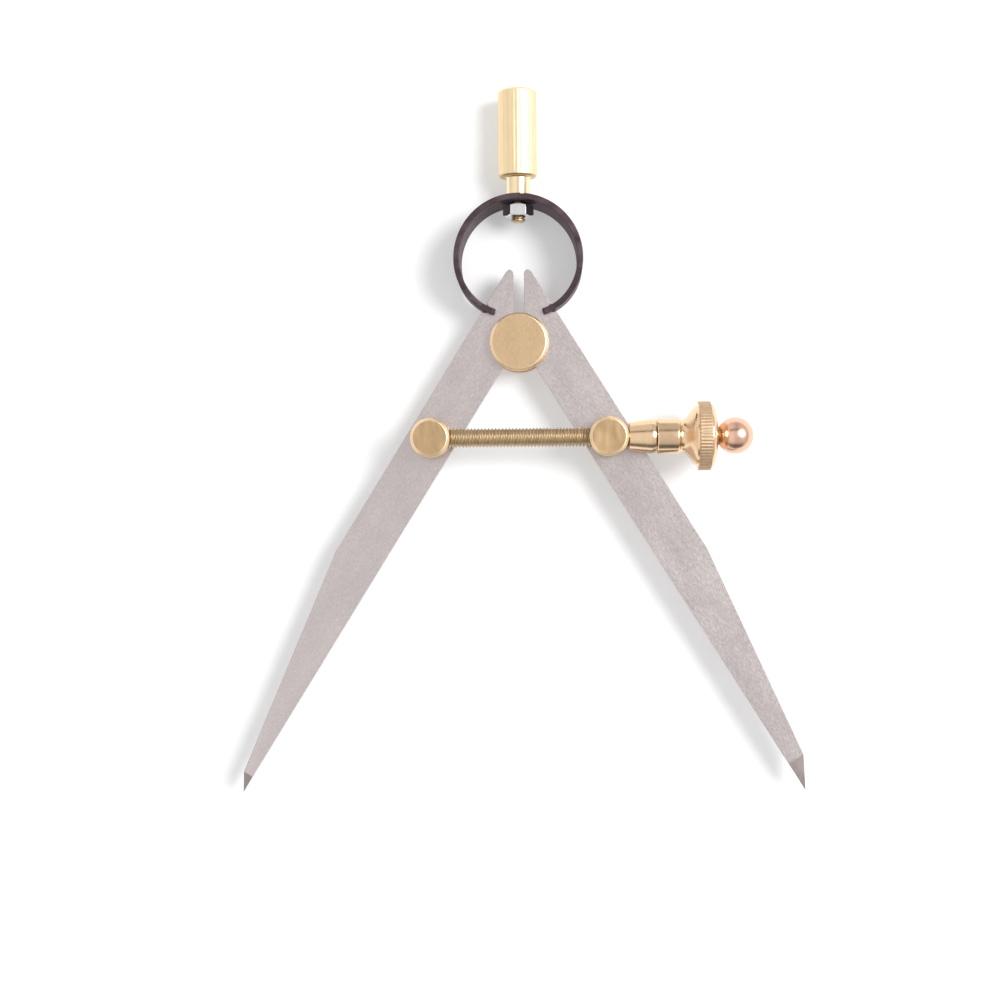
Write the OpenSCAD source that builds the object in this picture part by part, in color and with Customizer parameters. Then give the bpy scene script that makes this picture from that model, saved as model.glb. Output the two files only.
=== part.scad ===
// Drawing compass of the spring divider kind, lying on its back.
// X runs to the right, Y towards the handle, Z up from the back face.
// The origin is on the fulcrum axis, at the back face of the fulcrum's back cap.

/* [Legs] */
// Distance from the fulcrum axis to a leg's point
leg_length = 109.4; // [104:0.1:116]
// Thickness of the flat leg
leg_thickness = 2.5; // [2.2:0.1:3]
// Distance from the fulcrum line to the leg's outer edge
leg_outer_edge = 9.8; // [9.6:0.1:10.2]
// Gap between the legs' inner edges when they are closed
closed_gap = 0.3; // [0.2:0.1:0.6]
// Angle of each leg from the centre line at full opening
half_opening = 32; // [31:0.5:33]
// Distance along the leg to where the outer edge starts to taper
knee_distance = 56.5; // [50:0.5:65]
// Length of the left leg's ground point, the shorter of the two
left_point_length = 4; // [3.5:0.1:7]
// Length of the right leg's ground point
right_point_length = 6.7; // [3.5:0.1:7]
// Width of the left leg where its ground point starts
left_point_width = 2.1; // [1.8:0.1:3.8]
// Width of the right leg where its ground point starts
right_point_width = 3.6; // [1.8:0.1:3.8]
// Gap between the two ears above the fulcrum
ear_gap = 2.2; // [1.8:0.1:2.6]
// Height of the ears above the fulcrum axis
ear_height = 15.1; // [14.2:0.1:15.4]

/* [Fulcrum] */
// Diameter of the fulcrum's head and of its back cap
fulcrum_diameter = 12; // [11:0.5:13]
// Thickness of the fulcrum's head
fulcrum_head_thickness = 2.5; // [2:0.1:3]
// Thickness of the fulcrum's back cap
back_cap_thickness = 2.4; // [2:0.1:3]
// Diameter of the roller that the legs turn on
roller_diameter = 6; // [5:0.5:6.5]
// Diameter of the fulcrum's shank
shank_diameter = 4; // [3:0.5:4]

/* [Bow spring] */
// Radius of the middle of the strip over the crown
bow_radius = 12.65; // [12.4:0.05:12.9]
// Radius of the middle of the strip near its forked ends
bow_end_radius = 10.8; // [10.4:0.1:11.2]
// Height of the bow's centre above the fulcrum axis
bow_height = 16.9; // [16.6:0.1:17.2]
// Thickness of the strip
strip_thickness = 1.2; // [1:0.1:1.3]
// Width of the strip over the crown
strip_width = 11; // [9:0.5:12]
// Width of the strip at its forked ends
fork_width = 5.6; // [5:0.1:7]

/* [Handle] */
// Diameter of the grip
grip_diameter = 8; // [7:0.5:9]
// Height of the grip's lower end above the fulcrum axis
grip_start = 34.2; // [33:0.1:35]
// Length of the grip
grip_length = 18; // [16:0.1:24]
// Diameter of the neck below the grip
neck_diameter = 5; // [4:0.5:6]
// Width of the nut across its flats
nut_flats = 5.5; // [5:0.1:6]
// Thickness of the nut
nut_thickness = 2.4; // [2:0.1:2.6]

/* [Opening screw] */
// Diameter of the two pivot studs
stud_diameter = 8; // [7.5:0.1:8.4]
// Height of the pivot studs above the legs
stud_height = 8; // [7:0.5:9]
// Distance along the leg from the fulcrum to a stud
stud_distance = 26.35; // [24:0.1:28]
// Diameter of the screw
screw_diameter = 4; // [3.5:0.1:4]
// Distance from the fulcrum axis to the centre of the stop ball
ball_centre = 43.7; // [43.6:0.1:45]
// Diameter of the stop ball
ball_diameter = 7.5; // [7:0.1:8]
// Diameter of the knurled wheel
wheel_diameter = 14; // [12:0.5:15]

/* [Hidden] */

$fn = 64;
big = 60;
side_gap = 0.05;
running_gap = 0.05;
fixed_gap = 0.02;
edge_chamfer = 0.4;

// Heights above the back face
leg_back = back_cap_thickness + side_gap;
leg_front = leg_back + leg_thickness;
leg_middle = leg_back + leg_thickness / 2;
head_back = leg_front + side_gap;
screw_height = leg_front + stud_height / 2;

// Leg outline, with u along the inner edge from the fulcrum and v across it
inner_edge = closed_gap / 2;
point_thickness = 0.4;
stud_v = (inner_edge + leg_outer_edge) / 2 - 0.08;
hole_radius = 2;
along = [sin(half_opening), -cos(half_opening)];
across = [cos(half_opening), sin(half_opening)];
function leg_uv(p) = [p * along, p * across];
stud_place = stud_distance * along + stud_v * across;

// Bow spring: one arc over the crown and a tighter one at each end
turn_angle = -10;
arm_angle = 20;
arm_split = 0.7;
fork_end_angle = -73.3;
bow_centre = [0, bow_height];
end_centre = bow_centre + (bow_radius - bow_end_radius) * [cos(turn_angle), sin(turn_angle)];
fork_angle = half_opening - acos((leg_outer_edge - end_centre * across) / bow_end_radius);
fork_place = end_centre + bow_end_radius * [cos(fork_angle), sin(fork_angle)];
notch_radius = 0.9;
fork_seat = 0.8;
fork_slot = leg_thickness + 0.2;
full_width_y = bow_height + bow_radius * cos(100);
fork_width_y = bow_height + bow_radius * cos(140);

// Handle
bow_inner = bow_radius - strip_thickness / 2;
bow_outer = bow_radius + strip_thickness / 2;
thread_radius = 1.5;
nut_corner = nut_flats / sqrt(3);
nut_top = bow_height + sqrt(bow_inner * bow_inner - nut_corner * nut_corner) - fixed_gap;
nut_bottom = nut_top - nut_thickness;
stud_end = nut_bottom - 1.15;
top_chamfer = 0.5;

// Screw, collar and nut along X, from the fulcrum axis
screw_radius = screw_diameter / 2;
stud_radius = stud_diameter / 2;
screw_start = -stud_place[0] - 2.6;
screw_end = ball_centre + 1.4;
collar_end = 27.65;
collar_start_radius = 2.85;
collar_end_radius = 3.5;
nut_start = 27.85;
hub_radius = 3.65;
hub_end = 32.3;
neck_radius = 3.2;
wheel_start = 36.15;
wheel_end = 38.75;
wheel_radius = wheel_diameter / 2;
dome_radius = 2.6;
nut_end = 40.05;
washer_thickness = 1.2;

// Turns a profile about the line through the screw, along X
module about_screw() {
  translate([0, stud_place_y(), screw_height]) rotate([0, 90, 0]) rotate_extrude() children();
}

// Height of the screw line along Y
function stud_place_y() = stud_place[1];

// Sector of a disc about c, between two angles less than 180 degrees apart
module sector(c, from_angle, to_angle) {
  mid = (from_angle + to_angle) / 2;
  translate([c[0], c[1], -big])
    linear_extrude(2 * big)
      polygon([[0, 0], for (a = [from_angle, mid, to_angle]) big * [cos(a), sin(a)]]);
}

// Upright ring of the strip's thickness about c
module strip_ring(c, radius) {
  translate([c[0], c[1], leg_middle])
    difference() {
      cylinder(r = radius + strip_thickness / 2, h = strip_width, center = true, $fn = 128);
      cylinder(r = radius - strip_thickness / 2, h = strip_width + 2, center = true, $fn = 128);
    }
}

// Block that gives the strip its width: full over the crown, narrow at the fork
module strip_taper() {
  full = strip_width / 2;
  narrow = fork_width / 2;
  translate([-big / 2, 0, leg_middle])
    rotate([90, 0, 90])
      linear_extrude(big)
        polygon([[0, -narrow], [fork_width_y, -narrow], [full_width_y, -full], [big, -full],
                 [big, full], [full_width_y, full], [fork_width_y, narrow], [0, narrow]]);
}

// One arm of the bow, on the right: it ends in a fork that straddles the leg
module spring_arm() {
  difference() {
    intersection() {
      union() {
        intersection() {
          strip_ring(bow_centre, bow_radius);
          sector(bow_centre, turn_angle, arm_angle - arm_split);
        }
        intersection() {
          strip_ring(end_centre, bow_end_radius);
          sector(end_centre, fork_end_angle, turn_angle);
        }
      }
      strip_taper();
    }
    intersection() {
      sector(end_centre, fork_end_angle - 10, fork_angle - fork_seat);
      translate([-big, -big, leg_middle - fork_slot / 2]) cube([2 * big, 2 * big, fork_slot]);
    }
  }
}

// Flat leg on the right: its outline, thinned to a ground point
module flat_leg(point_length, point_width) {
  ear_width = 1.5;
  point_base = leg_length - point_length;
  outline = [
    [roller_diameter / 4, inner_edge],
    [leg_length, inner_edge],
    [point_base, inner_edge + point_width],
    [knee_distance, leg_outer_edge],
    leg_uv([ear_gap / 2 + ear_width, ear_height - 0.5]),
    leg_uv([ear_gap / 2 + 0.7 * ear_width, ear_height - 0.1]),
    leg_uv([ear_gap / 2 + 0.4 * ear_width, ear_height]),
    leg_uv([ear_gap / 2 + 0.1 * ear_width, ear_height - 0.4]),
    leg_uv([ear_gap / 2, ear_height - 1]),
    leg_uv([ear_gap / 2, 0.5])
  ];
  half = leg_thickness / 2;
  thin = point_thickness / 2;
  rotate([0, 0, half_opening - 90])
    difference() {
      intersection() {
        translate([0, 0, leg_back]) linear_extrude(leg_thickness) polygon(outline);
        translate([0, big / 2, leg_middle])
          rotate([90, 0, 0])
            linear_extrude(big)
              polygon([[-big, -half], [point_base, -half], [leg_length, -thin],
                       [leg_length, thin], [point_base, half], [-big, half]]);
      }
      cylinder(r = roller_diameter / 2 + running_gap, h = big, center = true);
      translate([stud_distance, stud_v, 0]) cylinder(r = hole_radius, h = big, center = true);
      translate(concat(leg_uv(fork_place), [0])) cylinder(r = notch_radius, h = big, center = true);
    }
}

// Pivot stud on the right: a post that carries the screw, and a shank through the leg
module pivot_stud() {
  post_start = leg_front + side_gap;
  post_end = leg_front + stud_height;
  translate([stud_place[0], stud_place[1], 0])
    rotate_extrude()
      polygon([[0, leg_back - washer_thickness - side_gap],
               [hole_radius - running_gap, leg_back - washer_thickness - side_gap],
               [hole_radius - running_gap, post_start], [stud_radius, post_start],
               [stud_radius, post_end - edge_chamfer], [stud_radius - edge_chamfer, post_end],
               [0, post_end]]);
}

// Washer that the stud's shank is riveted over, on the right
module rivet_washer() {
  washer_back = leg_back - washer_thickness - side_gap;
  translate([stud_place[0], stud_place[1], washer_back])
    difference() {
      cylinder(r = stud_radius, h = washer_thickness);
      cylinder(r = hole_radius - running_gap + fixed_gap, h = 3 * washer_thickness, center = true);
    }
}

module handle() {
  color("khaki")
    difference() {
      translate([0, 0, leg_middle])
        rotate([-90, 0, 0])
          rotate_extrude()
            polygon([[0, stud_end], [thread_radius - 0.3, stud_end],
                     [thread_radius, stud_end + 0.3], [thread_radius, bow_height + bow_inner],
                     [thread_radius, bow_height + bow_radius],
                     [neck_diameter / 2, bow_height + bow_radius],
                     [neck_diameter / 2, grip_start], [grip_diameter / 2 - edge_chamfer, grip_start],
                     [grip_diameter / 2, grip_start + edge_chamfer],
                     [grip_diameter / 2, grip_start + grip_length - top_chamfer],
                     [grip_diameter / 2 - top_chamfer, grip_start + grip_length],
                     [0, grip_start + grip_length]]);
      translate([0, bow_height, leg_middle])
        difference() {
          cylinder(r = bow_outer + fixed_gap, h = strip_width + 2, center = true, $fn = 128);
          rotate([-90, 0, 0]) cylinder(r = thread_radius, h = big, $fn = 64);
          translate([-big, -2 * big, -big]) cube([2 * big, 2 * big, 2 * big]);
        }
    }
}

module handle_nut() {
  color("silver")
    translate([0, nut_bottom, leg_middle])
      rotate([-90, 0, 0])
        difference() {
          intersection() {
            cylinder(r = nut_corner, h = nut_thickness, $fn = 6);
            rotate_extrude()
              polygon([[0, 0], [nut_flats / 2 - 0.05, 0], [nut_corner, 0.3],
                       [nut_corner, nut_thickness - 0.3], [nut_flats / 2 - 0.05, nut_thickness],
                       [0, nut_thickness]]);
          }
          cylinder(r = thread_radius + fixed_gap, h = 3 * nut_thickness, center = true);
        }
}

module spring_crown() {
  color("dimgray")
    difference() {
      intersection() {
        strip_ring(bow_centre, bow_radius);
        sector(bow_centre, arm_angle + arm_split, 180 - arm_angle - arm_split);
        strip_taper();
      }
      translate([0, 0, leg_middle])
        rotate([-90, 0, 0])
          cylinder(r = thread_radius + 3 * running_gap, h = big);
    }
}

module spring_left_arm() {
  color("dimgray") mirror([1, 0, 0]) spring_arm();
}

module spring_right_arm() {
  color("dimgray") spring_arm();
}

module fulcrum_post() {
  head_front = head_back + fulcrum_head_thickness;
  radius = fulcrum_diameter / 2;
  color("tan")
    rotate_extrude()
      polygon([[0, 0], [shank_diameter / 2, 0], [shank_diameter / 2, head_back],
               [radius, head_back], [radius, head_front - edge_chamfer],
               [radius - edge_chamfer, head_front], [0, head_front]]);
}

module fulcrum_roller() {
  color("gray")
    translate([0, 0, back_cap_thickness])
      difference() {
        cylinder(r = roller_diameter / 2, h = head_back - back_cap_thickness);
        cylinder(r = shank_diameter / 2 + fixed_gap, h = big, center = true);
      }
}

module fulcrum_back_cap() {
  radius = fulcrum_diameter / 2;
  color("tan")
    rotate_extrude()
      polygon([[shank_diameter / 2 + fixed_gap, 0], [radius - edge_chamfer, 0],
               [radius, edge_chamfer], [radius, back_cap_thickness],
               [shank_diameter / 2 + fixed_gap, back_cap_thickness]]);
}

module left_leg() {
  color("lightgray") mirror([1, 0, 0]) flat_leg(left_point_length, left_point_width);
}

module right_leg() {
  color("lightgray") flat_leg(right_point_length, right_point_width);
}

module left_stud() {
  color("burlywood")
    difference() {
      mirror([1, 0, 0]) pivot_stud();
      translate([screw_start - fixed_gap, stud_place[1], screw_height])
        rotate([0, 90, 0])
          cylinder(r = screw_radius + fixed_gap, h = big);
    }
}

module left_stud_washer() {
  color("tan") mirror([1, 0, 0]) rivet_washer();
}

module right_stud() {
  color("burlywood")
    difference() {
      pivot_stud();
      translate([0, stud_place[1], screw_height])
        rotate([0, 90, 0])
          cylinder(r = screw_radius + running_gap, h = big);
    }
}

module right_stud_washer() {
  color("tan") rivet_washer();
}

module adjusting_screw() {
  color("darkkhaki")
    about_screw()
      polygon([[0, screw_start], [screw_radius, screw_start], [screw_radius, screw_end],
               [0, screw_end]]);
}

module stop_ball() {
  radius = ball_diameter / 2;
  color("peru")
    about_screw()
      difference() {
        intersection() {
          translate([0, ball_centre]) circle(r = radius);
          translate([0, ball_centre - radius]) square([radius, ball_diameter]);
        }
        translate([-fixed_gap, 0]) square([screw_radius + 2 * fixed_gap, screw_end + fixed_gap]);
      }
}

module seat_collar() {
  start = stud_place[0] + stud_radius + 2 * running_gap;
  bore = screw_radius + 2 * running_gap;
  color("gold")
    about_screw()
      polygon([[bore, start], [collar_start_radius - 0.1, start],
               [collar_start_radius, start + 0.1],
               [collar_end_radius, collar_end - 0.8],
               [collar_end_radius - 0.12, collar_end - 0.1],
               [collar_end_radius - 0.22, collar_end],
               [bore, collar_end]]);
}

module adjusting_nut() {
  bore = screw_radius + running_gap;
  flare_steps = 8;
  flare_start = hub_end + 0.5;
  flare_length = wheel_start - flare_start;
  wheel_step = 0.75;
  flare_rise = wheel_radius - wheel_step - neck_radius;
  flare = [for (i = [0:flare_steps]) let (t = i / flare_steps)
    [neck_radius + flare_rise * t * t * (3 - 2 * t), flare_start + flare_length * t]];
  dome_steps = 6;
  dome_length = nut_end - wheel_end;
  dome = [for (i = [0:dome_steps]) let (a = 90 * i / dome_steps)
    [dome_radius + (wheel_radius - 0.5 - dome_radius) * cos(a), wheel_end + dome_length * sin(a)]];
  color("goldenrod")
    about_screw()
      polygon(concat([[bore, nut_start], [hub_radius - 0.2, nut_start],
                      [hub_radius, nut_start + 0.2], [hub_radius, hub_end - 0.15],
                      [hub_radius - 0.15, hub_end]],
                     flare,
                     [[wheel_radius - 0.2, wheel_start], [wheel_radius, wheel_start + 0.2],
                      [wheel_radius, wheel_end - 0.2], [wheel_radius - 0.2, wheel_end]],
                     dome, [[bore, nut_end]]));
}

handle();
handle_nut();
spring_crown();
spring_left_arm();
spring_right_arm();
fulcrum_post();
fulcrum_roller();
fulcrum_back_cap();
left_leg();
right_leg();
left_stud();
left_stud_washer();
right_stud();
right_stud_washer();
adjusting_screw();
stop_ball();
seat_collar();
adjusting_nut();
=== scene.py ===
"""Looks of a drawing compass (spring divider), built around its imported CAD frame."""
import math

import bmesh
import bpy
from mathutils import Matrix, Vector


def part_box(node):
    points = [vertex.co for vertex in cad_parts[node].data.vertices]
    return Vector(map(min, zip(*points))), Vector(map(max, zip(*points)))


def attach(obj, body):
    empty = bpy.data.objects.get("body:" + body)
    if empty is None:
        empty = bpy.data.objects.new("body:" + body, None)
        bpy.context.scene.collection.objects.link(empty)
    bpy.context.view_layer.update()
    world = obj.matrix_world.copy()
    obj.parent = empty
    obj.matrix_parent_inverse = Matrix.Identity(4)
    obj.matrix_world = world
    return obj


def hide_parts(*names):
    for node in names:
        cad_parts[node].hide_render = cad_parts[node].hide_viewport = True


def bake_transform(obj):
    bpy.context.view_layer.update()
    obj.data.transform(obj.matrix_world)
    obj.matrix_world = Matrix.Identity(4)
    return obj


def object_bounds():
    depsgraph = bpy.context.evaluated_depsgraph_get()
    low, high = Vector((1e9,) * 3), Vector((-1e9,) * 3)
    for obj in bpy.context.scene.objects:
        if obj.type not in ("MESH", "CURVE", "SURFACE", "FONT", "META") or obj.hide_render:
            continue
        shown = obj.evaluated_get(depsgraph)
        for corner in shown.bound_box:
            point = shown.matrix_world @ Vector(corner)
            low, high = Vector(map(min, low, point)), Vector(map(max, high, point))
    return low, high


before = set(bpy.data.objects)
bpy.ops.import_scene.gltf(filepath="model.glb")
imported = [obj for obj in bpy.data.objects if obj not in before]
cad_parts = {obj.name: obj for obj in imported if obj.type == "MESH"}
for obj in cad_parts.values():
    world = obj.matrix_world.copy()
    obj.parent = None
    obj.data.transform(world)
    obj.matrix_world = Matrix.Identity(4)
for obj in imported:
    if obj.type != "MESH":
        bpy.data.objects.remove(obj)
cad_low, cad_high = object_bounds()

MM = 0.001
ORIGIN = Vector((0, 0, 0))
X, Y, Z = Vector((1, 0, 0)), Vector((0, 1, 0)), Vector((0, 0, 1))

# Bow spring: the same arcs as in the CAD, in mm and in degrees from +X.
# The taper's two turns are degrees of the crown's arc, counted from its middle.
BOW_CENTRE = Vector((0, 16.9))
BOW_RADIUS = 12.65
BOW_END_RADIUS = 10.8
TURN_ANGLE = -10
FORK_END_ANGLE = -73.3
FORK_SEAT_ANGLE = -61.6
TAPER_START_TURN = 100
TAPER_END_TURN = 140
STRIP_THICKNESS = 1.2
STRIP_WIDTH = 11
FORK_WIDTH = 5.6
FORK_SLOT = 2.7
FORK_CORNER = 0.35
STRIP_EDGE = 0.14
BEND_STEP = 0.35
HANDLE_HOLE = 1.65

# Handle, in mm
GRIP_START = 34.2
GRIP_FLUTES = 30
FLUTE_DEPTH = 0.06
NECK_RADIUS = 2.5
HANDLE_STUD_RADIUS = 1.5
STUD_PITCH = 0.5
STUD_THREAD_DEPTH = 0.28

# Fulcrum and studs, in mm
ARBOR_RADIUS = 2.0
ARBOR_BORE = 2.02
FULCRUM_RIM = 0.42
STUD_SHANK = 1.95
STUD_BORE = 1.97
STUD_RIM = 0.5
CROSS_HOLE = 2.05

# Screw, collar, nut and ball, in mm
SCREW_PITCH = 0.7
SCREW_THREAD_DEPTH = 0.34
COLLAR_SMALL_RADIUS = 2.85
COLLAR_BORE = 2.1
HUB_RADIUS = 3.65
HUB_END = 32.2
NUT_NECK_RADIUS = 3.2
NUT_BORE = 2.05
WHEEL_START = 36.15
WHEEL_END = 38.75
WHEEL_TEETH = 64
TOOTH_DEPTH = 0.09
BALL_BORE = 2.04
BALL_BORE_DEPTH = 1.45

# Legs
HALF_OPENING = 32
LEG_EASING = 0.11
LEG_COLOUR = (0.645, 0.577, 0.57)

# Shading: the angle, in degrees, past which a corner stays sharp
SHARP_ANGLE = 50


def middle(node):
    """Centre of a CAD node's box."""
    low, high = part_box(node)
    return (low + high) / 2


# ---------------------------------------------------------------- mesh code


def even_normals(mesh, sharp):
    """Corner normals that keep large faces flat and shade only the small ones round."""
    limit = math.cos(math.radians(sharp))
    around = [[] for _ in mesh.vertices]
    for face in mesh.polygons:
        for v in face.vertices:
            around[v].append((face.normal.copy(), face.area / MM ** 2))
    normals = []
    for face in mesh.polygons:
        for v in face.vertices:
            total = Vector()
            for normal, area in around[v]:
                if normal.dot(face.normal) > limit:
                    total += normal * area
            normals.append(total.normalized())
    mesh.normals_split_custom_set(normals)


def finish_mesh(bm, name, materials):
    """Turns a bmesh, in mm, into an object in metres with smooth faces and sharp corners."""
    bmesh.ops.recalc_face_normals(bm, faces=bm.faces)
    if bm.calc_volume(signed=True) < 0:
        bmesh.ops.reverse_faces(bm, faces=bm.faces)
    bmesh.ops.scale(bm, vec=(MM, MM, MM), verts=bm.verts)
    mesh = bpy.data.meshes.new(name)
    bm.to_mesh(mesh)
    bm.free()
    mesh.shade_smooth()
    even_normals(mesh, SHARP_ANGLE)
    for material in materials:
        mesh.materials.append(material)
    piece = bpy.data.objects.new(name, mesh)
    bpy.context.scene.collection.objects.link(piece)
    return piece


def eased(points, radius, steps=4):
    """Profile with each inner corner turned into a small curve."""
    points = [Vector(p) for p in points]
    result = [points[0]]
    for before, corner, after in zip(points, points[1:], points[2:]):
        to_before, to_after = before - corner, after - corner
        reach = min(radius, to_before.length * 0.45, to_after.length * 0.45)
        start = corner + to_before.normalized() * reach
        end = corner + to_after.normalized() * reach
        for i in range(steps + 1):
            t = i / steps
            result.append(start * (1 - t) ** 2 + corner * 2 * t * (1 - t) + end * t * t)
    return result + [points[-1]]


def turned(name, origin, axis, profile, materials, segments=96, shape=None, zone=None, bored=False):
    """Turned solid: profile is (distance along the axis, radius) in mm, from the origin in metres.

    shape(along, angle, radius) gives knurls and threads; zone(along, radius) picks the material.
    """
    side = Y if abs(axis.x) > 0.5 else X
    up = axis.cross(side)
    start = origin / MM
    bm = bmesh.new()
    rings = []
    for along, radius in profile:
        ring = []
        for k in range(segments):
            angle = 2 * math.pi * k / segments
            r = shape(along, angle, radius) if shape else radius
            outward = side * math.cos(angle) + up * math.sin(angle)
            ring.append(bm.verts.new(start + axis * along + outward * r))
        rings.append(ring)
    pairs = list(zip(rings, rings[1:]))
    if bored:
        pairs.append((rings[-1], rings[0]))
    for j, (a, b) in enumerate(pairs):
        for k in range(segments):
            n = (k + 1) % segments
            face = bm.faces.new((a[k], a[n], b[n], b[k]))
            if zone and j < len(profile) - 1:
                face.material_index = zone((profile[j][0] + profile[j + 1][0]) / 2,
                                           (profile[j][1] + profile[j + 1][1]) / 2)
    if not bored:
        bm.faces.new(rings[0][::-1])
        bm.faces.new(rings[-1])
    return finish_mesh(bm, name, materials)


def stations(start, end, step):
    """Evenly spaced distances from start to end."""
    count = max(1, round((end - start) / step))
    return [start + (end - start) * i / count for i in range(count + 1)]


def eased_copy(node, name, materials, width, zone=None):
    """Copy of a CAD node with its sharp edges rounded off; width in mm."""
    bm = bmesh.new()
    bm.from_mesh(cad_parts[node].data)
    bmesh.ops.scale(bm, vec=(1 / MM, 1 / MM, 1 / MM), verts=bm.verts)
    bmesh.ops.remove_doubles(bm, verts=bm.verts, dist=0.0005)
    bmesh.ops.dissolve_limit(bm, angle_limit=math.radians(1), verts=bm.verts, edges=bm.edges)
    corners = [e for e in bm.edges
               if len(e.link_faces) == 2 and e.calc_face_angle(0) > math.radians(25)]
    bmesh.ops.bevel(bm, geom=corners, offset=width, segments=2, profile=0.5,
                    affect="EDGES", clamp_overlap=True, loop_slide=True)
    bmesh.ops.triangulate(bm, faces=[f for f in bm.faces if len(f.verts) > 4])
    bm.normal_update()
    if zone:
        for face in bm.faces:
            face.material_index = zone(face)
    return finish_mesh(bm, name, materials)


# ---------------------------------------------------------------- materials


def nodes_of(name):
    """New material with its node tree and its shader."""
    material = bpy.data.materials.new(name)
    material.use_nodes = True
    tree = material.node_tree
    return material, tree, tree.nodes["Principled BSDF"]


def add(tree, kind, inputs=None, **settings):
    """New node with its settings and input values."""
    node = tree.nodes.new(kind)
    for key, value in settings.items():
        setattr(node, key, value)
    for key, value in (inputs or {}).items():
        node.inputs[key].default_value = value
    return node


def grain(tree, angle, stretch, scale, detail=3.0):
    """Noise drawn out along a direction in the object's XY plane, in degrees from X."""
    place = add(tree, "ShaderNodeTexCoord")
    turn = add(tree, "ShaderNodeMapping", {"Rotation": (0, 0, -math.radians(angle))},
               vector_type="POINT")
    squeeze = add(tree, "ShaderNodeMapping", {"Scale": (1 / stretch, 1, 1)}, vector_type="POINT")
    noise = add(tree, "ShaderNodeTexNoise", {"Scale": scale, "Detail": detail, "Roughness": 0.55})
    tree.links.new(place.outputs["Object"], turn.inputs["Vector"])
    tree.links.new(turn.outputs["Vector"], squeeze.inputs["Vector"])
    tree.links.new(squeeze.outputs["Vector"], noise.inputs["Vector"])
    return noise.outputs["Fac"]


def ramp(tree, source, stops):
    """Colour ramp fed by source; stops are (position, colour)."""
    node = add(tree, "ShaderNodeValToRGB")
    while len(node.color_ramp.elements) < len(stops):
        node.color_ramp.elements.new(0.5)
    for element, (position, colour) in zip(node.color_ramp.elements, stops):
        element.position = position
        element.color = (*colour, 1)
    tree.links.new(source, node.inputs["Fac"])
    return node.outputs["Color"]


def spread(tree, source, low, high):
    """Source, about 0.3 to 0.7, mapped to low to high."""
    node = add(tree, "ShaderNodeMapRange",
               {"From Min": 0.3, "From Max": 0.7, "To Min": low, "To Max": high})
    tree.links.new(source, node.inputs["Value"])
    return node.outputs["Result"]


def bump(tree, source, strength, distance):
    """Small relief from source; distance in mm."""
    node = add(tree, "ShaderNodeBump", {"Strength": strength, "Distance": distance * MM})
    tree.links.new(source, node.inputs["Height"])
    return node.outputs["Normal"]


def shade(colour, factor):
    """Colour made darker or lighter."""
    return tuple(min(1.0, c * factor) for c in colour)


def brushed_metal(name, colour, angle, rough, contrast, stretch=4, relief=0.001):
    """Metal with short brush marks along one direction and broad soft clouding."""
    material, tree, shader = nodes_of(name)
    marks = grain(tree, angle, stretch, 5200)
    clouds = grain(tree, angle, 2.5, 260, detail=2.0)
    mixed = add(tree, "ShaderNodeMix", {"Factor": 0.3}, data_type="FLOAT")
    tree.links.new(marks, mixed.inputs[2])
    tree.links.new(clouds, mixed.inputs[3])
    fac = mixed.outputs[0]
    tint = ramp(tree, fac, [(0.3, shade(colour, 1 - contrast)), (0.5, colour),
                            (0.7, shade(colour, 1 + contrast))])
    tree.links.new(tint, shader.inputs["Base Color"])
    tree.links.new(spread(tree, fac, rough - 0.06, rough + 0.06), shader.inputs["Roughness"])
    tree.links.new(bump(tree, marks, 0.5, relief), shader.inputs["Normal"])
    shader.inputs["Metallic"].default_value = 1.0
    return material


def turned_metal(name, colour, rough, contrast=0.06, relief=0.004):
    """Turned or polished metal with fine mottling and faint tool marks."""
    material, tree, shader = nodes_of(name)
    mottle = grain(tree, 90, 3, 900, detail=4.0)
    specks = grain(tree, 0, 1, 5200, detail=2.0)
    tint = ramp(tree, mottle, [(0.3, shade(colour, 1 - contrast)), (0.5, colour),
                               (0.72, shade(colour, 1 + contrast))])
    tree.links.new(tint, shader.inputs["Base Color"])
    tree.links.new(spread(tree, mottle, rough - 0.04, rough + 0.05), shader.inputs["Roughness"])
    tree.links.new(bump(tree, specks, 0.4, relief), shader.inputs["Normal"])
    shader.inputs["Metallic"].default_value = 1.0
    return material


def black_oxide(name):
    """Blackened spring steel: a dark metal film with a faint brown cast."""
    material, tree, shader = nodes_of(name)
    clouds = grain(tree, 0, 1.6, 420, detail=5.0)
    specks = grain(tree, 0, 1, 4200, detail=2.0)
    film = ramp(tree, clouds, [(0.3, (0.052, 0.036, 0.04)), (0.52, (0.078, 0.055, 0.061)),
                               (0.75, (0.11, 0.082, 0.089))])
    tree.links.new(film, shader.inputs["Base Color"])
    tree.links.new(spread(tree, clouds, 0.32, 0.48), shader.inputs["Roughness"])
    tree.links.new(bump(tree, specks, 0.35, 0.006), shader.inputs["Normal"])
    shader.inputs["Metallic"].default_value = 0.5
    shader.inputs["Specular IOR Level"].default_value = 0.25
    shader.inputs["Specular Tint"].default_value = (0.5, 0.4, 0.43, 1)
    return material


leg_metals = {
    "left": brushed_metal("leg_steel_left", LEG_COLOUR, 90 - HALF_OPENING, 0.27, 0.09),
    "right": brushed_metal("leg_steel_right", LEG_COLOUR, 90 + HALF_OPENING, 0.27, 0.09),
}
ground_steel = turned_metal("ground_steel", (0.33, 0.285, 0.275), 0.38, contrast=0.12, relief=0.01)
# Rounded leg edges: rougher steel made darker than the faces; the darker colour is painted shade.
edge_steel_painted_shade = turned_metal("edge_steel_painted_shade", (0.42, 0.38, 0.375), 0.68, contrast=0.1)
roller_steel = turned_metal("roller_steel", (0.45, 0.44, 0.43), 0.35)
fulcrum_brass = brushed_metal("fulcrum_brass", (0.72, 0.51, 0.305), 90, 0.3, 0.05,
                              stretch=5, relief=0.004)
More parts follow.
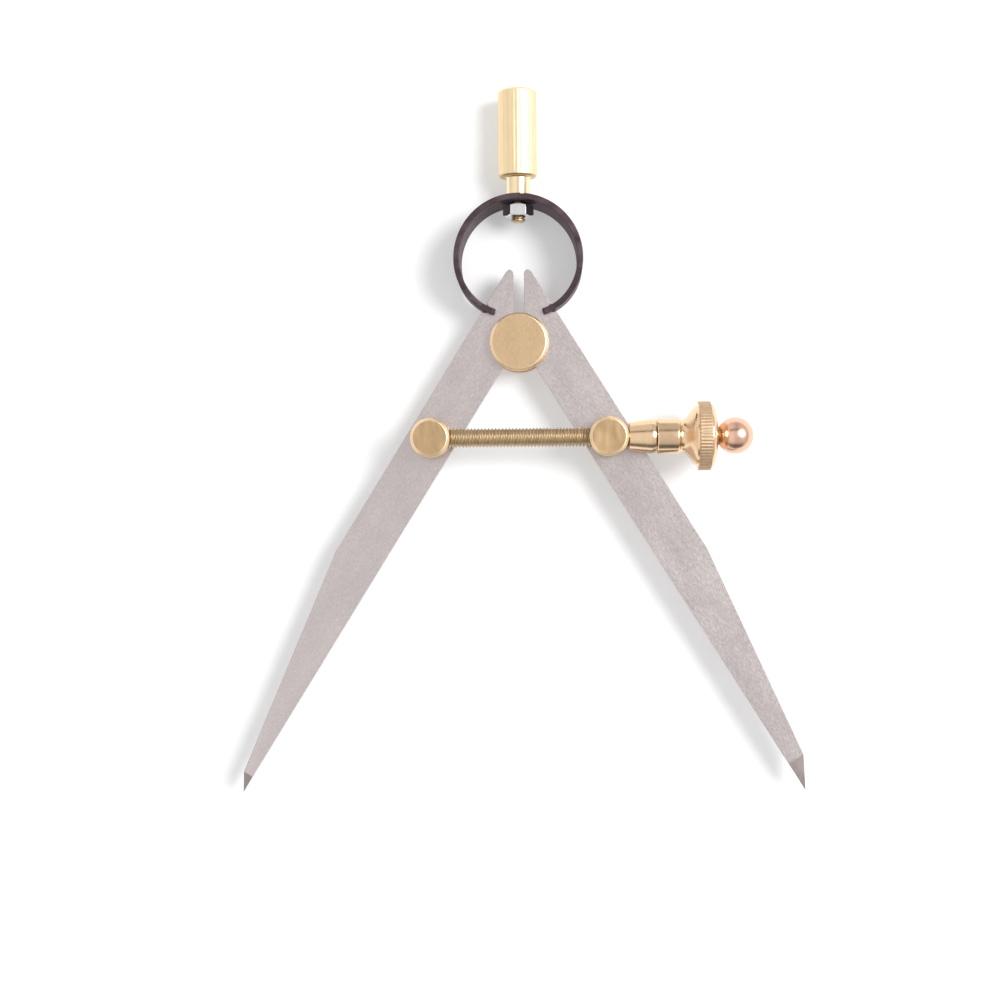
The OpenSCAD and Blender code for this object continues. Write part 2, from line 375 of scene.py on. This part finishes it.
# Chamfered rims of the fulcrum, back cap and studs: brass made brighter than the faces, a painted
# highlight where the rims catch the light.
rim_brass_painted_highlight = turned_metal("rim_brass_painted_highlight", (0.93, 0.7, 0.45), 0.4, contrast=0.04)
stud_brass = turned_metal("stud_brass", (0.61, 0.418, 0.232), 0.31, contrast=0.08, relief=0.008)
grip_brass = turned_metal("grip_brass", (0.92, 0.725, 0.455), 0.46, contrast=0.03)
neck_brass = turned_metal("neck_brass", (0.97, 0.77, 0.5), 0.18, contrast=0.03)
screw_brass = turned_metal("screw_brass", (0.55, 0.43, 0.28), 0.42, contrast=0.1)
nut_brass = turned_metal("nut_brass", (0.88, 0.63, 0.4), 0.2, contrast=0.04)
# The wheel's toothed band: the nut's brass made darker and rougher; the darker colour is painted
# shade among the teeth.
knurl_brass_painted_shade = turned_metal("knurl_brass_painted_shade", (0.6, 0.43, 0.28), 0.5, contrast=0.08)
ball_copper = turned_metal("ball_copper", (0.84, 0.53, 0.39), 0.22, contrast=0.05)
plated_steel = turned_metal("plated_steel", (0.92, 0.92, 0.93), 0.14, contrast=0.03)
spring_steel = black_oxide("spring_steel")


# ---------------------------------------------------------------- handle


def flutes(count, depth, start, end, run_out):
    """Straight knurl between two distances along the axis; it fades out over run_out."""
    def shape(along, angle, radius):
        inside = min((along - start) / run_out, (end - along) / run_out, 1)
        if inside <= 0:
            return radius
        groove = 0.5 + 0.5 * math.cos(count * angle)
        return radius - depth * groove * inside

    return shape


def thread(pitch, depth, start, end):
    """Helical V thread with a flat crest between two distances along the axis."""
    def shape(along, angle, radius):
        if not start < along < end:
            return radius
        turn = (along / pitch - angle / (2 * math.pi)) % 1
        groove = min(1.0, max(0.0, (1 - abs(turn - 0.5) / 0.44) * 1.3))
        fade = min(1.0, (along - start) / pitch, (end - along) / pitch)
        return radius - depth * groove * fade

    return shape


def build_handle():
    """Fluted grip, neck and threaded stud, which runs through the bow."""
    low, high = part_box("handle")
    axis_point = Vector((0, 0, (low.z + high.z) / 2))
    stud_end, top = low.y / MM, high.y / MM
    grip_radius = (high.x - low.x) / 2 / MM
    neck_start = (BOW_CENTRE.y + BOW_RADIUS) - 0.1
    knurl = flutes(GRIP_FLUTES, FLUTE_DEPTH, GRIP_START + 0.3, top - 0.5, 0.3)
    tip_thread = thread(STUD_PITCH, STUD_THREAD_DEPTH, stud_end + 0.2, neck_start - 0.6)

    def shape(along, angle, radius):
        cut = knurl if along > GRIP_START else tip_thread
        return cut(along, angle, radius)

    def zone(along, radius):
        return 1 if along < neck_start else 2 if along < GRIP_START - 0.02 else 0

    stud = [(stud_end, 0.4), (stud_end, 1.15), (stud_end + 0.25, HANDLE_STUD_RADIUS)]
    stud += [(y, HANDLE_STUD_RADIUS)
             for y in stations(stud_end + 0.3, neck_start - 0.3, STUD_PITCH / 8)]
    neck = eased([(neck_start, HANDLE_STUD_RADIUS), (neck_start, NECK_RADIUS),
                  (GRIP_START - 0.15, NECK_RADIUS), (GRIP_START, NECK_RADIUS + 0.2),
                  (GRIP_START, grip_radius - 0.45), (GRIP_START + 0.3, grip_radius)], 0.12)
    grip = [(y, grip_radius) for y in stations(GRIP_START + 0.35, top - 0.55, 0.6)]
    cap = eased([(top - 0.5, grip_radius), (top, grip_radius - 0.5), (top, 0.5)], 0.2)
    piece = turned("handle_turned", axis_point, Y, stud + neck + grip + cap,
                   [grip_brass, screw_brass, neck_brass],
                   segments=GRIP_FLUTES * 12, shape=shape, zone=zone)
    # The neck's foot is hollowed to sit on the bow
    seat = BOW_RADIUS + STRIP_THICKNESS / 2 + 0.02
    for v in piece.data.vertices:
        x, y = v.co.x / MM, v.co.y / MM
        off_axis = math.hypot(v.co.x, v.co.z - axis_point.z) / MM
        if neck_start - 0.01 < y < neck_start + 0.9 and off_axis > HANDLE_STUD_RADIUS - 0.05:
            v.co.y = max(v.co.y, (BOW_CENTRE.y + math.sqrt(seat ** 2 - x ** 2)) * MM)
    even_normals(piece.data, SHARP_ANGLE)
    return piece


handle = build_handle()
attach(handle, "head")
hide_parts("handle")

hex_nut = eased_copy("handle_nut", "handle_nut_eased", [plated_steel], 0.1)
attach(hex_nut, "head")
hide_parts("handle_nut")


# ---------------------------------------------------------------- bow spring


CROWN_RUN = math.radians(90 - TURN_ANGLE) * BOW_RADIUS


def bow_place(length):
    """Place and outward direction on the right half's middle line, by length from the crown."""
    if length <= CROWN_RUN:
        angle = math.pi / 2 - length / BOW_RADIUS
        centre, radius = BOW_CENTRE, BOW_RADIUS
    else:
        turn = math.radians(TURN_ANGLE)
        angle = turn - (length - CROWN_RUN) / BOW_END_RADIUS
        outward = Vector((math.cos(turn), math.sin(turn)))
        centre, radius = BOW_CENTRE + outward * (BOW_RADIUS - BOW_END_RADIUS), BOW_END_RADIUS
    direction = Vector((math.cos(angle), math.sin(angle)))
    return centre + direction * radius, direction


def run_to(angle):
    """Length along the middle line from the crown to an angle on the end arc."""
    return CROWN_RUN + math.radians(TURN_ANGLE - angle) * BOW_END_RADIUS


def build_bow_half(name, side):
    """Flat forked blank, rounded at its edges and bent round the bow; side is 1 right, -1 left."""
    full, narrow, slot = STRIP_WIDTH / 2, FORK_WIDTH / 2, FORK_SLOT / 2
    taper_start = math.radians(TAPER_START_TURN) * BOW_RADIUS
    taper_end = math.radians(TAPER_END_TURN) * BOW_RADIUS
    seat, end = run_to(FORK_SEAT_ANGLE), run_to(FORK_END_ANGLE)
    outline = [(0, full), (taper_start, full), (taper_end, narrow), (end - FORK_CORNER, narrow),
               (end, narrow - FORK_CORNER), (end, slot), (seat, slot)]
    outline += [(s, -z) for s, z in outline[::-1]]
    # Half of the hole for the handle's stud
    outline += [(HANDLE_HOLE * math.sin(a), -HANDLE_HOLE * math.cos(a))
                for a in stations(0, math.pi, math.pi / 12)]
    bm = bmesh.new()
    blank = bm.faces.new([bm.verts.new((s, z, -STRIP_THICKNESS / 2)) for s, z in outline])
    raised = bmesh.ops.extrude_face_region(bm, geom=[blank])
    for v in raised["geom"]:
        if isinstance(v, bmesh.types.BMVert):
            v.co.z += STRIP_THICKNESS
    bmesh.ops.recalc_face_normals(bm, faces=bm.faces)
    rims = [e for e in bm.edges
            if e.calc_face_angle(0) > 0.4 and max(v.co.x for v in e.verts) > HANDLE_HOLE]
    bmesh.ops.bevel(bm, geom=rims, offset=STRIP_EDGE, segments=2, profile=0.5,
                    affect="EDGES", clamp_overlap=True)
    for s in stations(0, end, BEND_STEP)[1:-1]:
        geometry = bm.verts[:] + bm.edges[:] + bm.faces[:]
        bmesh.ops.bisect_plane(bm, geom=geometry, plane_co=(s, 0, 0), plane_no=(1, 0, 0))
    z_middle = middle("left_leg").z / MM
    for v in bm.verts:
        place, outward = bow_place(max(0.0, v.co.x))
        place = place + outward * v.co.z
        v.co = Vector((side * place.x, place.y, z_middle + v.co.y))
    return finish_mesh(bm, name, [spring_steel])


for side, arm in ((-1, "left"), (1, "right")):
    half = build_bow_half(f"bow_spring_{arm}_half", side)
    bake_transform(half)
    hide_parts("spring_crown", f"spring_{arm}_arm")


# ---------------------------------------------------------------- legs


def leg_zone(face):
    """Material of a leg's face: 1 on the ground point, 2 on a rounded edge in darker steel that
    paints shade, 0 elsewhere.
    """
    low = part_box("left_leg")[0].y / MM
    tilt = abs(face.normal.z)
    if 0.5 < tilt < 0.995 and face.calc_center_median().y < low + 5.5:
        return 1
    return 2 if 0.05 < tilt < 0.995 else 0


for side in ("left", "right"):
    leg = eased_copy(f"{side}_leg", f"{side}_leg_eased",
                     [leg_metals[side], ground_steel, edge_steel_painted_shade], LEG_EASING, zone=leg_zone)
    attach(leg, f"{side}_leg")
    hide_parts(f"{side}_leg")


# ---------------------------------------------------------------- fulcrum and studs


def upright(node):
    """Back, front and radius in mm of a round CAD node that stands along Z."""
    low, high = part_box(node)
    return low.z / MM, high.z / MM, (high.x - low.x) / 2 / MM


def build_fulcrum():
    """Round head with a bevelled rim, on the shank that the legs turn round."""
    back, front, radius = upright("fulcrum_post")
    head = upright("fulcrum_roller")[1]
    rim = FULCRUM_RIM

    # Zone 1 is the chamfered rim, in brass with a painted highlight.
    def zone(along, r):
        return 1 if along > front - rim and r > radius - rim - 0.1 else 0

    profile = [(back, 0.5), (back + 0.02, 1.7), (back + 0.3, ARBOR_RADIUS)]
    profile += eased([(head, ARBOR_RADIUS), (head, radius), (front - rim, radius),
                      (front - 0.04, radius - rim), (front, radius - rim - 0.15),
                      (front, 0.5)], 0.07)
    return turned("fulcrum_post_turned", ORIGIN, Z, profile, [fulcrum_brass, rim_brass_painted_highlight], zone=zone)


def build_back_cap():
    """Round cap behind the legs, riveted on the fulcrum's shank."""
    _, front, radius = upright("fulcrum_back_cap")
    rim = FULCRUM_RIM

    # Zone 1 is the chamfered rim, in brass with a painted highlight.
    def zone(along, r):
        return 1 if along < rim and r > radius - 0.5 else 0

    profile = eased([(front, ARBOR_BORE), (front, radius), (rim, radius), (0, radius - rim),
                     (0, 2.4), (0.35, ARBOR_BORE)], 0.07)
    return turned("fulcrum_back_cap_turned", ORIGIN, Z, profile, [fulcrum_brass, rim_brass_painted_highlight],
                  zone=zone, bored=True)


def build_roller():
    """Core that the legs' notches turn on."""
    back, front, radius = upright("fulcrum_roller")
    profile = eased([(back, ARBOR_BORE), (back, radius),
                     (front, radius), (front, ARBOR_BORE)], 0.15)
    return turned("fulcrum_roller_turned", ORIGIN, Z, profile, [roller_steel], bored=True)


for piece, node, slot in ((build_fulcrum(), "fulcrum_post", "fulcrum_brass"),
                          (build_back_cap(), "fulcrum_back_cap", "fulcrum_brass"),
                          (build_roller(), "fulcrum_roller", "roller_steel")):
    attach(piece, "fulcrum")
    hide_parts(node)


def cut_hole(piece, origin, axis, radius, length):
    """Drills a straight hole through a piece; radius and length in mm."""
    drill = turned("drill", origin, axis, [(-length / 2, radius), (length / 2, radius)], [],
                   segments=48)
    cutter = piece.modifiers.new("hole", "BOOLEAN")
    cutter.operation = "DIFFERENCE"
    cutter.solver = "EXACT"
    cutter.object = drill
    graph = bpy.context.evaluated_depsgraph_get()
    cut = bpy.data.meshes.new_from_object(piece.evaluated_get(graph))
    piece.modifiers.clear()
    piece.data = cut
    even_normals(cut, SHARP_ANGLE)
    bpy.data.objects.remove(drill)


def build_stud(side):
    """Post with a chamfered face, a shank through the leg and a cross hole for the screw."""
    centre = middle(f"{side}_stud")
    back, front, radius = upright(f"{side}_stud")
    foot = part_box(f"{side}_leg")[1].z / MM + 0.05
    rim = STUD_RIM

    # Zone 1 is the chamfered rim, in brass with a painted highlight.
    def zone(along, r):
        return 1 if along > front - rim and r > radius - rim - 0.1 else 0

    profile = [(back, 0.4), (back + 0.02, 1.6), (back + 0.3, STUD_SHANK)]
    profile += eased([(foot, STUD_SHANK), (foot, radius), (front - rim, radius),
                      (front - 0.03, radius - rim), (front, radius - rim - 0.12),
                      (front, 0.4)], 0.1)
    stud = turned(f"{side}_stud_turned", Vector((centre.x, centre.y, 0)), Z, profile,
                  [stud_brass, rim_brass_painted_highlight], zone=zone)
    screw = middle("adjusting_screw")
    cut_hole(stud, Vector((centre.x, screw.y, screw.z)), X, CROSS_HOLE, 3 * radius)
    return stud


def build_washer(side):
    """Washer behind the leg, which the stud's shank is riveted over."""
    centre = middle(f"{side}_stud_washer")
    back, front, radius = upright(f"{side}_stud_washer")
    profile = eased([(front, STUD_BORE), (front, radius), (back, radius), (back, 2.3),
                     (back + 0.3, STUD_BORE)], 0.2)
    return turned(f"{side}_stud_washer_turned", Vector((centre.x, centre.y, 0)), Z, profile,
                  [stud_brass], bored=True)


for side in ("left", "right"):
    for piece, node in ((build_stud(side), f"{side}_stud"),
                        (build_washer(side), f"{side}_stud_washer")):
        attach(piece, f"{side}_stud")
        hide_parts(node)


# ---------------------------------------------------------------- screw, collar, nut and ball


screw_line = middle("adjusting_screw")
SCREW_ORIGIN = Vector((0, screw_line.y, screw_line.z))


def lying(node):
    """Start, end and radius in mm of a round CAD node that lies along X."""
    low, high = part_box(node)
    return low.x / MM, high.x / MM, (high.z - low.z) / 2 / MM


def build_screw():
    """Rod with a cut thread and chamfered ends."""
    start, end, radius = lying("adjusting_screw")
    threaded = thread(SCREW_PITCH, SCREW_THREAD_DEPTH, start + 0.3, end - 0.3)
    profile = [(start, 0.4), (start, radius - 0.3), (start + 0.3, radius)]
    profile += [(x, radius) for x in stations(start + 0.35, end - 0.35, SCREW_PITCH / 8)]
    profile += [(end - 0.3, radius), (end, radius - 0.3), (end, 0.4)]
    return turned("adjusting_screw_threaded", SCREW_ORIGIN, X, profile, [screw_brass],
                  segments=48, shape=threaded)


def build_collar():
    """Tapered seat between the right stud and the nut."""
    start, end, large = lying("seat_collar")
    small, bore = COLLAR_SMALL_RADIUS, COLLAR_BORE
    profile = eased([(start, bore), (start, small - 0.1), (start + 0.1, small), (end - 0.8, large),
                     (end - 0.1, large - 0.12), (end, large - 0.22), (end, bore)], 0.12)
    return turned("seat_collar_turned", SCREW_ORIGIN, X, profile, [nut_brass], bored=True)


def build_nut():
    """Hub, concave flare and toothed wheel with a domed end."""
    start, end, rim = lying("adjusting_nut")
    hub, neck = HUB_RADIUS, NUT_NECK_RADIUS
    flare_start, flare_length = HUB_END + 0.75, WHEEL_START - HUB_END - 0.8
    flare = [(flare_start + flare_length * t, neck + (rim - 0.8 - neck) * t * t * (3 - 2 * t))
             for t in stations(0, 1, 0.06)]
    dome = [(WHEEL_END + (end - WHEEL_END) * math.sin(a), 2.7 + (rim - 3.25) * math.cos(a))
            for a in stations(0.0, math.pi / 2, math.pi / 20)]
    teeth = flutes(WHEEL_TEETH, TOOTH_DEPTH, WHEEL_START + 0.05, WHEEL_END - 0.05, 0.22)
    profile = eased([(start, NUT_BORE), (start, hub - 0.2), (start + 0.2, hub), (HUB_END, hub),
                     (HUB_END + 0.5, neck + 0.05), (flare_start - 0.05, neck)], 0.3)
    profile += flare
    profile += [(WHEEL_START, rim - 0.25), (WHEEL_START + 0.12, rim - 0.03)]
    profile += [(x, rim) for x in stations(WHEEL_START + 0.25, WHEEL_END - 0.25, 0.3)]
    profile += [(WHEEL_END - 0.12, rim - 0.03), (WHEEL_END, rim - 0.25)]
    profile += dome + [(end, NUT_BORE)]

    # Zone 1 is the toothed band, in darker brass that paints shade among the teeth.
    def zone(along, r):
        return 1 if WHEEL_START < along < WHEEL_END and r > rim - 0.4 else 0

    return turned("adjusting_nut_knurled", SCREW_ORIGIN, X, profile, [nut_brass, knurl_brass_painted_shade],
                  segments=WHEEL_TEETH * 8, shape=teeth, zone=zone, bored=True)


def build_ball():
    """Ball with a blind hole that the screw's end sits in."""
    _, end, radius = lying("stop_ball")
    centre = end - radius
    floor = centre + BALL_BORE_DEPTH
    mouth = math.asin((BALL_BORE + 0.12) / radius)
    arc = [(centre - radius * math.cos(a), radius * math.sin(a))
           for a in stations(mouth, math.pi - 0.06, math.pi / 48)]
    hole = [(floor, 0.3), (floor, BALL_BORE), (arc[0][0] + 0.12, BALL_BORE)]
    return turned("stop_ball_turned", SCREW_ORIGIN, X, hole + arc, [ball_copper])


for piece, node, body, slot in (
        (build_screw(), "adjusting_screw", "left_stud", "screw_brass"),
        (build_ball(), "stop_ball", "left_stud", "ball_copper"),
        (build_collar(), "seat_collar", "right_stud", "nut_brass"),
        (build_nut(), "adjusting_nut", "adjusting_nut", "nut_brass")):
    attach(piece, body)
    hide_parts(node)


# ---------------------------------------------------------------- floor, light and camera


# Metres and degrees: 0.35 m above the compass, turned by less than 2 degrees
CAMERA_PLACE = (0.0057, -0.0328, 0.3488)
CAMERA_TURN = (0.03, 1.64, -0.49)


def build_floor():
    """Pale sheet that the compass lies on, just below its lowest edge."""
    level = cad_low[2] - 0.1 * MM
    half = 3.0
    mesh = bpy.data.meshes.new("floor")
    corners = [(-half, -half, level), (half, -half, level),
               (half, half, level), (-half, half, level)]
    mesh.from_pydata(corners, [], [(0, 1, 2, 3)])
    floor = bpy.data.objects.new("floor", mesh)
    bpy.context.scene.collection.objects.link(floor)
    material, tree, shader = nodes_of("floor_paper")
    paper = grain(tree, 0, 1, 180, detail=2.0)
    tree.links.new(ramp(tree, paper, [(0.3, (0.61, 0.61, 0.61)), (0.7, (0.63, 0.63, 0.63))]),
                   shader.inputs["Base Color"])
    shader.inputs["Roughness"].default_value = 0.9
    # A light table: its own glow keeps the shadows pale
    shader.inputs["Emission Color"].default_value = (1, 1, 1, 1)
    shader.inputs["Emission Strength"].default_value = 0.31
    mesh.materials.append(material)


def area_light(name, place, target, size, power):
    """Round soft light at a place, aimed at a target; metres and watts."""
    data = bpy.data.lights.new(name, "AREA")
    data.shape = "DISK"
    data.size = size
    data.energy = power
    lamp = bpy.data.objects.new(name, data)
    bpy.context.scene.collection.objects.link(lamp)
    lamp.location = place
    lamp.rotation_euler = (Vector(target) - Vector(place)).to_track_quat("-Z", "Y").to_euler()


def build_world():
    """Studio tent: bright above, with darker seams that give metal its streaks."""
    world = bpy.data.worlds.new("studio")
    bpy.context.scene.world = world
    world.use_nodes = True
    tree = world.node_tree
    place = add(tree, "ShaderNodeTexCoord")
    parts = add(tree, "ShaderNodeSeparateXYZ")
    tree.links.new(place.outputs["Generated"], parts.inputs["Vector"])

    def greys(source, low, high, stops):
        """Grey level by source, which runs from low to high; stops are (source, grey)."""
        node = add(tree, "ShaderNodeMapRange",
                   {"From Min": low, "From Max": high, "To Min": 0.0, "To Max": 1.0})
        tree.links.new(source, node.inputs["Value"])
        return ramp(tree, node.outputs["Result"],
                    [((at - low) / (high - low), (value, value, value)) for at, value in stops])

    angle = add(tree, "ShaderNodeMath", operation="ARCTAN2")
    tree.links.new(parts.outputs["Y"], angle.inputs[0])
    tree.links.new(parts.outputs["Z"], angle.inputs[1])
    lean = add(tree, "ShaderNodeMath", operation="DEGREES")
    tree.links.new(angle.outputs[0], lean.inputs[0])
    # Degrees of lean from straight up to +Y: a wide dark seam low on the -Y side, a narrow
    # one on the +Y side
    bands = greys(lean.outputs[0], -100, 100,
                  [(-90, 0.9), (-86, 0.2), (-63, 0.2), (-53, 0.9), (-30, 1.0), (26, 1.0),
                   (31, 0.28), (38, 0.28), (45, 0.9), (100, 0.9)])
    # The seams fade out towards the tent's left and right ends
    centre = greys(parts.outputs["X"], -1, 1, [(-0.75, 0.0), (-0.5, 1.0), (0.5, 1.0), (0.75, 0.0)])
    # Brightest on the left, dimmest just right of the middle
    sides = greys(parts.outputs["X"], -1, 1,
                  [(-1, 1.0), (-0.8, 1.25), (-0.35, 1.25), (-0.12, 1.02), (0.04, 0.78),
                   (0.14, 0.78), (0.3, 0.9), (1, 0.95)])
    banded = add(tree, "ShaderNodeMix", {"A": (0.9, 0.9, 0.9, 1)}, data_type="RGBA")
    tree.links.new(centre, banded.inputs["Factor"])
    tree.links.new(bands, banded.inputs["B"])
    tent = add(tree, "ShaderNodeMix", {"Factor": 1.0}, data_type="RGBA", blend_type="MULTIPLY")
    tree.links.new(banded.outputs["Result"], tent.inputs["A"])
    tree.links.new(sides, tent.inputs["B"])
    background = tree.nodes["Background"]
    tree.links.new(tent.outputs["Result"], background.inputs["Color"])
    background.inputs["Strength"].default_value = 0.82


def build_camera():
    """Straight above the lying compass, as the object was looked at."""
    data = bpy.data.cameras.new("camera")
    data.sensor_width = 36
    data.lens = 60
    data.clip_start = 0.01
    camera = bpy.data.objects.new("camera", data)
    bpy.context.scene.collection.objects.link(camera)
    camera.location = CAMERA_PLACE
    camera.rotation_euler = [math.radians(turn) for turn in CAMERA_TURN]
    bpy.context.scene.camera = camera


build_floor()
build_world()
area_light("key", (0.72, 0.2, 0.92), (0, -0.02, 0), 0.6, 15)
build_camera()
bpy.context.scene.view_settings.view_transform = "Standard"
